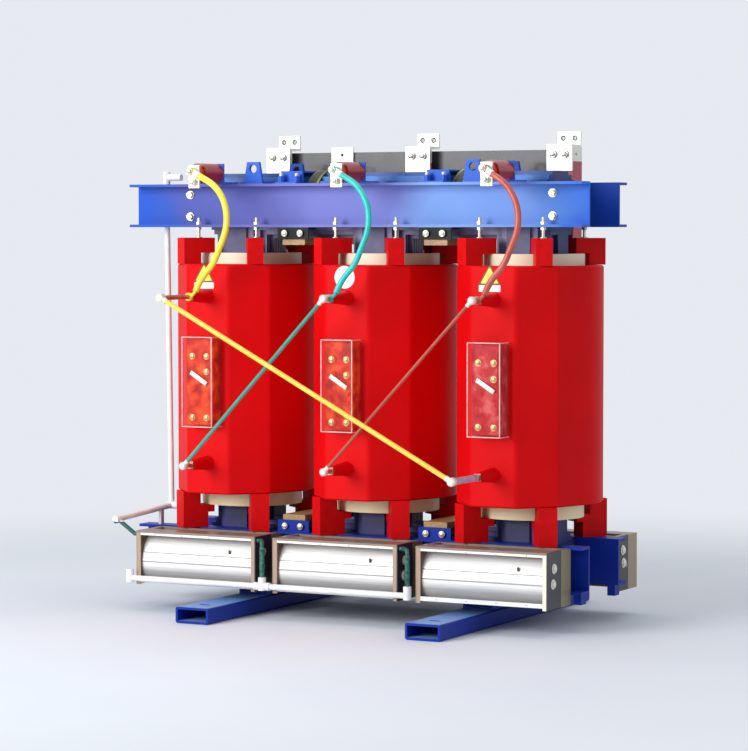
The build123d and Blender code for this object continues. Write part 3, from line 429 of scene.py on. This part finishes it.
# ---- Yoke bands
# Resin-soaked glass tape round the yoke, yellow-green with dark bands across it.
tape, tree, shader, where = finish("resin_glass_tape", Roughness=0.55)
dark_bands = add_node(tree, "TexWave", {"Vector": where, "Scale": per_metre(14) / 20, "Distortion": 1.5},
                 bands_direction="X")
tone = add_node(tree, "ValToRGB", {"Fac": dark_bands.outputs["Fac"]},
                stops=((0.25, srgb("#2B2C1A")), (0.5, srgb("#8E8C3A")), (0.8, srgb("#B9B55A"))))
tree.links.new(tone.outputs["Color"], shader.inputs["Base Color"])
dress(tape, "yoke_bands")

# ---- Post insulators
# Cast brown-red resin posts. The small front cap is rubbed lighter than the barrel.
post_resin, tree, shader, where = finish("cast_brown_resin", Roughness=0.3)
axis = add_node(tree, "SeparateXYZ", {"Vector": where})
ends = add_node(tree, "MapRange", {"Value": axis.outputs["Y"], "From Min": -0.372, "From Max": -0.366})
cast = add_node(tree, "TexNoise", {"Vector": where, "Scale": per_metre(25), "Detail": 3.0})
dark = add_node(tree, "ValToRGB", {"Fac": cast.outputs["Fac"]},
                stops=((0.3, srgb("#8E1712")), (0.7, srgb("#A8221A"))))
tone = add_node(tree, "Mix", {"Factor": ends.outputs[0], 6: srgb("#C84434"), 7: dark.outputs["Color"]},
                data_type="RGBA")
tree.links.new(tone.outputs[2], shader.inputs["Base Color"])
dress(post_resin, "post_insulators")

# ---- Tinned terminals
# Copper bar dipped in tin: near white, soft shine, finely brushed along its length.
tinned, tree, shader, where = finish("tinned_copper_bar", Roughness=0.42, Metallic=0.35)
brushed = add_node(tree, "Mapping", {"Vector": where, "Scale": (1.0, 1.0, 0.05)})
fine = add_node(tree, "TexNoise", {"Vector": brushed.outputs[0], "Scale": per_metre(3), "Detail": 3.0})
tone = add_node(tree, "ValToRGB", {"Fac": fine.outputs["Fac"]},
                stops=((0.3, srgb("#DEDCCB")), (0.7, srgb("#F4F3EA"))))
tree.links.new(tone.outputs["Color"], shader.inputs["Base Color"])
dress(tinned, "line_terminals", "lv_terminal_a", "lv_terminal_b", "lv_terminal_c", "neutral_terminal")

# ---- Bare edges of the terminal holes
# The drill took the tin off round each hole, and the copper there has gone dark.
bare, tree, shader, where = finish("dark_bare_copper", Roughness=0.6)
oxide = add_node(tree, "TexNoise", {"Vector": where, "Scale": per_metre(6), "Detail": 3.0})
tone = add_node(tree, "ValToRGB", {"Fac": oxide.outputs["Fac"]},
                stops=((0.35, srgb("#1C1614")), (0.65, srgb("#3A2C26"))))
tree.links.new(tone.outputs["Color"], shader.inputs["Base Color"])
rims = bmesh.new()
RIM = ((0, 6.4), (0, 10.5), (0.5, 10.2), (0.5, 6.4))
for middle in (-621.0, -2.0, 597.0):
    for side in (-24.0, 24.0):
        turned(rims, (middle + side, 335.0, 1801.0), (0, -1, 0), RIM, capped=False)
piece("terminal_hole_rims", rims, bare)

# ---- Coil terminals
# Bare copper lugs and studs, warm pink-brown where the air has dulled them.
copper, tree, shader, where = finish("dulled_copper", Roughness=0.4, Metallic=0.8)
dull = add_node(tree, "TexNoise", {"Vector": where, "Scale": per_metre(14), "Detail": 4.0})
tone = add_node(tree, "ValToRGB", {"Fac": dull.outputs["Fac"]},
                stops=((0.3, srgb("#A8604C")), (0.7, srgb("#E0A890"))))
tree.links.new(tone.outputs["Color"], shader.inputs["Base Color"])
dress(copper, "coil_terminals")


# ---- Leads and delta links
# Stranded copper in a heat-shrunk sleeve, one colour for each phase. The sleeve is smooth,
# slightly waxy, and shows the strands under it as faint ridges.
def sleeve(name, deep, pale):
    """The finish of a shrunk sleeve between two shades."""
    material, tree, shader, where = finish(name, Roughness=0.4, Coat_Weight=0.1)
    flow = add_node(tree, "TexNoise", {"Vector": where, "Scale": per_metre(60), "Detail": 3.0})
    tone = add_node(tree, "ValToRGB", {"Fac": flow.outputs["Fac"]},
                    stops=((0.3, srgb(deep)), (0.7, srgb(pale))))
    tree.links.new(tone.outputs["Color"], shader.inputs["Base Color"])
    strands = add_node(tree, "TexNoise", {"Vector": where, "Scale": per_metre(9), "Detail": 2.0})
    skin = add_node(tree, "Bump", {"Height": strands.outputs["Fac"], "Strength": 0.3, "Distance": 0.0008})
    tree.links.new(skin.outputs[0], shader.inputs["Normal"])
    return material


dress(sleeve("yellow_lead_sleeve", "#EBD822", "#F2E24A"), "lead_yellow")
dress(sleeve("amber_link_sleeve", "#E8C434", "#EDD04E"), "link_yellow")
dress(sleeve("turquoise_lead_sleeve", "#0CB4AA", "#1CCCC2"), "lead_green")
dress(sleeve("teal_link_sleeve", "#2A8A78", "#3FA08E"), "link_green")
dress(sleeve("brick_lead_sleeve", "#B44A3C", "#C65E4E"), "lead_red")
dress(sleeve("red_link_sleeve", "#A8412C", "#B95038"), "link_red")

# ---- Crimped ends
# Tinned barrels pressed onto the ends of the leads and links, each with two crimp bands,
# domed cap nuts over the stud ends, and the bolts that hold the leads to their plates.
barrels, fixings = bmesh.new(), bmesh.new()
BOSS = (1203.0, 570.0)                # heights of the upper and lower bosses
# each link: its upper and lower coil, how far out its studs reach, and its radius
LINKS = ((COILS[0], COILS[2], 656.0, 9.0), (COILS[1], COILS[0], 502.0, 7.5), (COILS[2], COILS[1], 502.0, 6.5))


def barrel(start, toward, radius, length):
    """A crimped tube over a sleeve from one point toward another, in mm."""
    r = radius + 1.5
    turned(barrels, start, Vector(toward) - Vector(start),
           ((0, r * 0.8), (2, r), (length * 0.22, r), (length * 0.28, r * 0.93), (length * 0.38, r * 0.93),
            (length * 0.44, r), (length * 0.6, r), (length * 0.66, r * 0.93), (length * 0.76, r * 0.93),
            (length * 0.82, r), (length - 1, r), (length, radius + 0.3)))


for upper, lower, reach, r in LINKS:
    top, foot = Vector((upper, -reach - r - 3, BOSS[0])), Vector((lower, -reach - r - 3, BOSS[1]))
    along = (foot - top).normalized()
    barrel(top + along * 6, foot, r, 22)
    barrel(foot - along * 6, top, r, 22)
    for end in (top, foot):
        cap, deep = 10.2 + r / 2, 2 * r + 7
        turned(barrels, (end.x, -reach + 1, end.z), (0, -1, 0),
               ((0, cap), (1.5, cap + 1), (deep - 3, cap + 1), (deep, cap - 2), (deep + 2, cap - 7)))
for coil, off, r in zip(COILS, LINE_SHIFT, (12.0, 11.0, 11.5)):
    barrel((coil + off, -402 - r, 1674), (coil + 92, -421, 1618), r, 40)
    hex_head(fixings, (coil + off, -405 - 2 * r, 1674), (0, -1, 0), *M12)
piece("crimped_barrels", barrels, tinned)
piece("terminal_bolts", fixings, zinc)

# ---- Sleeve on the long lower stud
# The stud that carries the yellow link clear of the red one is bare copper inside a lilac-grey
# shrink sleeve, drawn in at both ends.
lilac, tree, shader, where = finish("lilac_grey_sleeve", Roughness=0.4)
ripple = add_node(tree, "TexNoise", {"Vector": where, "Scale": per_metre(25), "Detail": 3.0})
tone = add_node(tree, "ValToRGB", {"Fac": ripple.outputs["Fac"]},
                stops=((0.3, srgb("#A07C92")), (0.7, srgb("#C6A8BA"))))
tree.links.new(tone.outputs["Color"], shader.inputs["Base Color"])
stud_sleeve = bmesh.new()
turned(stud_sleeve, (COILS[2], -470, BOSS[1]), (0, -1, 0),
       ((0, 9.6), (1, 12), (12, 12.6), (90, 12.2), (168, 12.6), (180, 12), (181, 9.6)))
piece("stud_sleeve", stud_sleeve, lilac)

# ---- Tap covers
# Clear acrylic boxes over the tap studs, a light haze on the face. The faint pink of the face and the
# pale pink cut edges are painted reflection of the red casting caught in the acrylic.
acrylic, tree, shader, where = finish("clear_acrylic", Roughness=0.08, IOR=1.49, Alpha=0.025,
                                      Base_Color=srgb("#F4B0A8"), Specular_IOR_Level=0.3)
haze = add_node(tree, "TexNoise", {"Vector": where, "Scale": per_metre(40), "Detail": 4.0})
dust = add_node(tree, "MapRange", {"Value": haze.outputs["Fac"], "To Min": 0.06, "To Max": 0.26})
tree.links.new(dust.outputs[0], shader.inputs["Roughness"])
dress(acrylic, "tap_covers")
# painted reflection: the cut edges are opaque pale pink, standing in for the casting's red light in the clear
# acrylic
edge_painted_glow, tree, shader, where = finish("acrylic_edge_painted_reflection", Roughness=0.2)
glow = add_node(tree, "TexNoise", {"Vector": where, "Scale": per_metre(30), "Detail": 3.0})
tone = add_node(tree, "ValToRGB", {"Fac": glow.outputs["Fac"]},
                stops=((0.3, srgb("#E89A92")), (0.65, srgb("#F8CCC6"))))
tree.links.new(tone.outputs["Color"], shader.inputs["Base Color"])
edges = bmesh.new()
for coil in COILS:
    low, high = (coil - 66, -415, 709), (coil + 66, -335, 1051)
    for z in (low[2], high[2] - 3.5):
        slab(edges, (low[0], low[1] - 0.4, z), (high[0], low[1] + 3, z + 3.5), 0.6)
    for x in (low[0], high[0] - 3.5):
        slab(edges, (x, low[1] - 0.4, low[2] + 3.5), (x + 3.5, low[1] + 3, high[2] - 3.5), 0.6)
        for z in (low[2], high[2] - 3.0):
            slab(edges, (x, low[1] + 3, z), (x + 3.0, high[1], z + 3.0), 0.6)
piece("tap_cover_edges", edges, edge_painted_glow)

# ---- Tap studs and link bar
# A raised pad of rough resin fills most of the space under each cover. Brass studs come out
# of it, some with a nut on, and a pale tinned bar joins two of them.
brass, tree, shader, where = finish("cast_in_brass", Roughness=0.3, Metallic=0.9)
worn = add_node(tree, "TexNoise", {"Vector": where, "Scale": per_metre(10), "Detail": 4.0})
tone = add_node(tree, "ValToRGB", {"Fac": worn.outputs["Fac"]},
                stops=((0.3, srgb("#C79A58")), (0.7, srgb("#E9C88E"))))
tree.links.new(tone.outputs["Color"], shader.inputs["Base Color"])
dress(brass, "tap_terminals")
pocket_resin, tree, shader, where = finish("tap_pocket_resin", Roughness=0.5, Specular_IOR_Level=0.15)
flow = add_node(tree, "TexNoise", {"Vector": where, "Scale": per_metre(45), "Detail": 5.0})
orange = add_node(tree, "ValToRGB", {"Fac": flow.outputs["Fac"]},
                  stops=((0.35, srgb("#A80C04")), (0.5, srgb("#D22A08")), (0.68, srgb("#EE5A12"))))
rose = add_node(tree, "ValToRGB", {"Fac": flow.outputs["Fac"]},
                stops=((0.35, srgb("#AC0A12")), (0.5, srgb("#C21E28")), (0.7, srgb("#D8605E"))))
axis = add_node(tree, "SeparateXYZ", {"Vector": where})
last = add_node(tree, "Math", {0: axis.outputs["X"], 1: 0.30}, operation="GREATER_THAN")
tone = add_node(tree, "Mix",
                {"Factor": last.outputs[0], 6: orange.outputs["Color"], 7: rose.outputs["Color"]},
                data_type="RGBA")
tree.links.new(tone.outputs[2], shader.inputs["Base Color"])
floors, nuts, bars = bmesh.new(), bmesh.new(), bmesh.new()
PAD_FRONT = -392.0                    # front of the raised pad behind the clear cover
slant = Matrix.Rotation(math.radians(32.0), 3, "Y")
for coil in COILS:
    slab(floors, (coil - 59, PAD_FRONT, 717), (coil + 59, -335.5, 1043), 4.0)
    for z in (977, 919, 861, 803, 745):
        for x in (coil - 31, coil + 31):
            turned(floors, (x, PAD_FRONT + 0.5, z), (0, -1, 0), ((0, 21), (1.5, 20.5), (3.5, 17), (4, 12)))
            if (z, x - coil) in ((977, -31), (977, 31), (919, 31), (745, -31), (745, 31)):
                hex_head(nuts, (x, PAD_FRONT - 3, z), (0, -1, 0), 17.0, 9.0)
    slab(bars, (coil - 40, -405, 886), (coil + 42, -401, 903), 1.5, slant)
piece("tap_pads", floors, pocket_resin)
piece("tap_nuts", nuts, brass)
piece("tap_link_bars", bars, tinned)

# ---- Low voltage risers and the neutral bar
# Copper bars in shrink sleeve, crimson on the phases and charcoal on the neutral.
dress(sleeve("crimson_sleeve", "#A01230", "#BE2244"), "lv_risers")
dress(sleeve("charcoal_sleeve", "#2C2B2E", "#403E40"), "neutral_bar", "neutral_risers")

# ---- Fan housings
# Folded bright aluminium sheet. The curved face is brushed and nearly white, the frame is
# coated tan, cream at the right-hand end of the row, and the end plates are charcoal and olive.
fan_sheet, tree, shader, where = finish("folded_aluminium_sheet", Roughness=0.38, Metallic=0.15)
axis = add_node(tree, "SeparateXYZ", {"Vector": where})
x, y, z = (axis.outputs[k] for k in "XYZ")
FAN_SHIFT, FAN_HALF, FAN_FACE = -12.0, 263.0, 409.0   # middle from its coil's, half length, outer face
# the rear fans are the front one turned half round, so each fan's own left to right is worked out
turn = add_node(tree, "Math", {0: y}, operation="SIGN")
shift = add_node(tree, "Math", {0: x, 1: -FAN_SHIFT / 1000}, operation="ADD")
local = add_node(tree, "Math", {0: shift.outputs[0], 1: 0.3, 2: -0.3}, operation="WRAP")
flip = add_node(tree, "Math", {0: local.outputs[0], 1: turn.outputs[0]}, operation="MULTIPLY")
across = add_node(tree, "Math", {0: flip.outputs[0], 1: -1.0}, operation="MULTIPLY").outputs[0]
depth = add_node(tree, "Math", {0: y}, operation="ABSOLUTE").outputs[0]
share = {}
for area, measure, test, bound in (
        ("left post", across, "LESS_THAN", -0.2432), ("right post", across, "GREATER_THAN", 0.2432),
        ("left end", across, "LESS_THAN", -0.2588), ("right end", across, "GREATER_THAN", 0.2588),
        ("top frame", z, "GREATER_THAN", 0.2975), ("behind the frame", depth, "LESS_THAN", 0.4045),
        ("inner half", depth, "LESS_THAN", 0.290), ("inner part", depth, "LESS_THAN", 0.325),
        ("right-hand fans", x, "GREATER_THAN", 0.3)):
    share[area] = add_node(tree, "Math", {0: measure, 1: bound}, operation=test).outputs[0]
# painted shade: the lower curve greys as it turns under, and a thin grey band marks the shade under each of
# the two rolled ribs
low = add_node(tree, "MapRange", {"Value": z, "From Min": 0.176, "From Max": 0.150, "To Max": 0.75})
share["lower curve"] = add_node(tree, "Math", {0: low.outputs[0], 1: share["behind the frame"]},
                                operation="MULTIPLY").outputs[0]
for area, height in (("upper rib", 0.2225), ("lower rib", 0.1865)):
    share[area] = add_node(tree, "Math", {0: z, 1: height, 2: 0.0016}, operation="COMPARE").outputs[0]
brush = add_node(tree, "Mapping", {"Vector": where, "Scale": (0.04, 1.0, 1.0)})
lines = add_node(tree, "TexNoise", {"Vector": brush.outputs[0], "Scale": per_metre(6), "Detail": 4.0})
coat = add_node(tree, "ValToRGB", {"Fac": lines.outputs["Fac"]},
                stops=((0.25, srgb("#DEDEDC")), (0.75, srgb("#FBFAF8")))).outputs["Color"]
tan, cream = srgb("#AE9480"), srgb("#EFE7D6")
post, left_end, right_end = (
    add_node(tree, "Mix", {"Factor": share[area], 6: here, 7: there}, data_type="RGBA").outputs[2]
    for area, here, there in (("right-hand fans", tan, cream),
                              ("inner part", srgb("#A08C70"), srgb("#2E2E34")),
                              ("inner half", srgb("#38363A"), srgb("#857B5C"))))
# the first three colours are painted shade, the rest the coats of the frame and end plates
for area, colour in (("lower curve", srgb("#8C8A8C")), ("upper rib", srgb("#94908E")),
                     ("lower rib", srgb("#94908E")), ("left post", tan), ("right post", post),
                     ("top frame", srgb("#8E7A6C")), ("right end", right_end), ("left end", left_end)):
    coat = add_node(tree, "Mix", {"Factor": share[area], 6: coat, 7: colour}, data_type="RGBA").outputs[2]
tree.links.new(coat, shader.inputs["Base Color"])
skin = add_node(tree, "Bump", {"Height": lines.outputs["Fac"], "Strength": 0.15, "Distance": 0.0005})
tree.links.new(skin.outputs[0], shader.inputs["Normal"])
for row in ("front", "rear"):
    for place in ("left", "middle", "right"):
        dress(fan_sheet, f"fan_housing_{row}_{place}")
# painted shade for the slots in the curved faces: a near-black finish
slot_shade_paint, tree, shader, where = finish("painted_slot_shade", Roughness=0.4)
spots = add_node(tree, "TexNoise", {"Vector": where, "Scale": per_metre(15), "Detail": 4.0})
tone = add_node(tree, "ValToRGB", {"Fac": spots.outputs["Fac"]},
                stops=((0.3, srgb("#2E2A10")), (0.55, srgb("#4A4412"))))
tree.links.new(tone.outputs["Color"], shader.inputs["Base Color"])
fasteners, end_nuts, slot_shades = bmesh.new(), bmesh.new(), bmesh.new()
SCREW = ((0, 3.6), (1.2, 3.2), (2.0, 1.6))
for coil in COILS:
    middle = coil + FAN_SHIFT
    for y, z in ((-352.0, 245.0), (-360.0, 190.0), (273.0, 252.0), (280.0, 203.0)):
        hex_head(end_nuts, (middle + FAN_HALF, y, z), (1, 0, 0), 25.0, 9.0)
    for side in (-1, 1):
        for off in (-180.0, -60.0, 60.0, 180.0):
            for z in (293.5, 116.5):
                turned(fasteners, (middle + off, side * FAN_FACE, z), (0, side, 0), SCREW)
    # a near-black block in the curved face: painted shade standing in for a slot
    slab(slot_shades, (coil + 124.0, -394.0, 233.0), (coil + 131.0, -386.5, 248.0), 2.0)
piece("fan_fasteners", fasteners, zinc)
piece("fan_end_nuts", end_nuts, tinned)
piece("fan_face_slot_shades", slot_shades, slot_shade_paint)

# ---- Fan wheels and motors
# Pressed aluminium blades between thin discs, with a grey cast motor shell at one end.
blade, tree, shader, where = finish("pressed_aluminium_blade", Roughness=0.35, Metallic=0.7)
dust_and_painted_highlight = add_node(tree, "TexNoise", {"Vector": where, "Scale": per_metre(20), "Detail": 4.0})
tone = add_node(tree, "ValToRGB", {"Fac": dust_and_painted_highlight.outputs["Fac"]},
                stops=((0.3, srgb("#6C6E72")), (0.7, srgb("#9A9CA0"))))
tree.links.new(tone.outputs["Color"], shader.inputs["Base Color"])
for row in ("front", "rear"):
    for place in ("left", "middle", "right"):
        dress(blade, f"fan_wheel_{row}_{place}")
shell, tree, shader, where = finish("cast_motor_shell", Roughness=0.55, Metallic=0.5)
sand = add_node(tree, "TexNoise", {"Vector": where, "Scale": per_metre(3), "Detail": 3.0})
tone = add_node(tree, "ValToRGB", {"Fac": sand.outputs["Fac"]},
                stops=((0.3, srgb("#3C3D40")), (0.7, srgb("#55565A"))))
tree.links.new(tone.outputs["Color"], shader.inputs["Base Color"])
skin = add_node(tree, "Bump", {"Height": sand.outputs["Fac"], "Strength": 0.5, "Distance": 0.0006})
tree.links.new(skin.outputs[0], shader.inputs["Normal"])
dress(shell, "fan_motors")

# ---- Wiring conduit
# White PVC pipe with moulded sockets and short teal flexible tails, ribbed so that they
# bend, which drop the wires into the fans.
pvc, tree, shader, where = finish("white_pvc_pipe", Roughness=0.4)
grime = add_node(tree, "TexNoise", {"Vector": where, "Scale": per_metre(50), "Detail": 4.0})
tone = add_node(tree, "ValToRGB", {"Fac": grime.outputs["Fac"]},
                stops=((0.3, srgb("#E4E2E2")), (0.7, srgb("#F4F2F0")))).outputs["Color"]
axis = add_node(tree, "SeparateXYZ", {"Vector": where})
bounds = [add_node(tree, "Math", {0: axis.outputs[k], 1: bound}, operation=test).outputs[0]
          for k, test, bound in (("Z", "GREATER_THAN", 0.1585), ("Z", "LESS_THAN", 0.336),
                                 ("Y", "LESS_THAN", -0.385))]
low_half = add_node(tree, "Math", {0: bounds[0], 1: bounds[1]}, operation="MULTIPLY")
tail = add_node(tree, "Math", {0: low_half.outputs[0], 1: bounds[2]}, operation="MULTIPLY")
tone = add_node(tree, "Mix", {"Factor": tail.outputs[0], 6: tone, 7: srgb("#1E5A50")}, data_type="RGBA")
tree.links.new(tone.outputs[2], shader.inputs["Base Color"])
dress(pvc, "conduit")
flexible, tree, shader, where = finish("teal_flexible_conduit", Roughness=0.5)
scuff = add_node(tree, "TexNoise", {"Vector": where, "Scale": per_metre(10), "Detail": 3.0})
tone = add_node(tree, "ValToRGB", {"Fac": scuff.outputs["Fac"]},
                stops=((0.35, srgb("#123C36")), (0.65, srgb("#3C8474"))))
tree.links.new(tone.outputs["Color"], shader.inputs["Base Color"])
ribbed = bmesh.new()
RIB_STEP, VALLEY, CREST = 8.0, 8.4, 10.2              # one rib to the next, and its two radii
outline = [(0.0, VALLEY)]
for rib in range(14):
    outline += [(rib * RIB_STEP + rise, radius)
                for rise, radius in ((1.5, VALLEY), (3.0, CREST), (5.5, CREST), (7.0, VALLEY))]
for x in (-310.0, 300.0):
    turned(ribbed, (x, -426.0, 160.0), (0, 0, 1), outline)
piece("flexible_tails", ribbed, flexible)
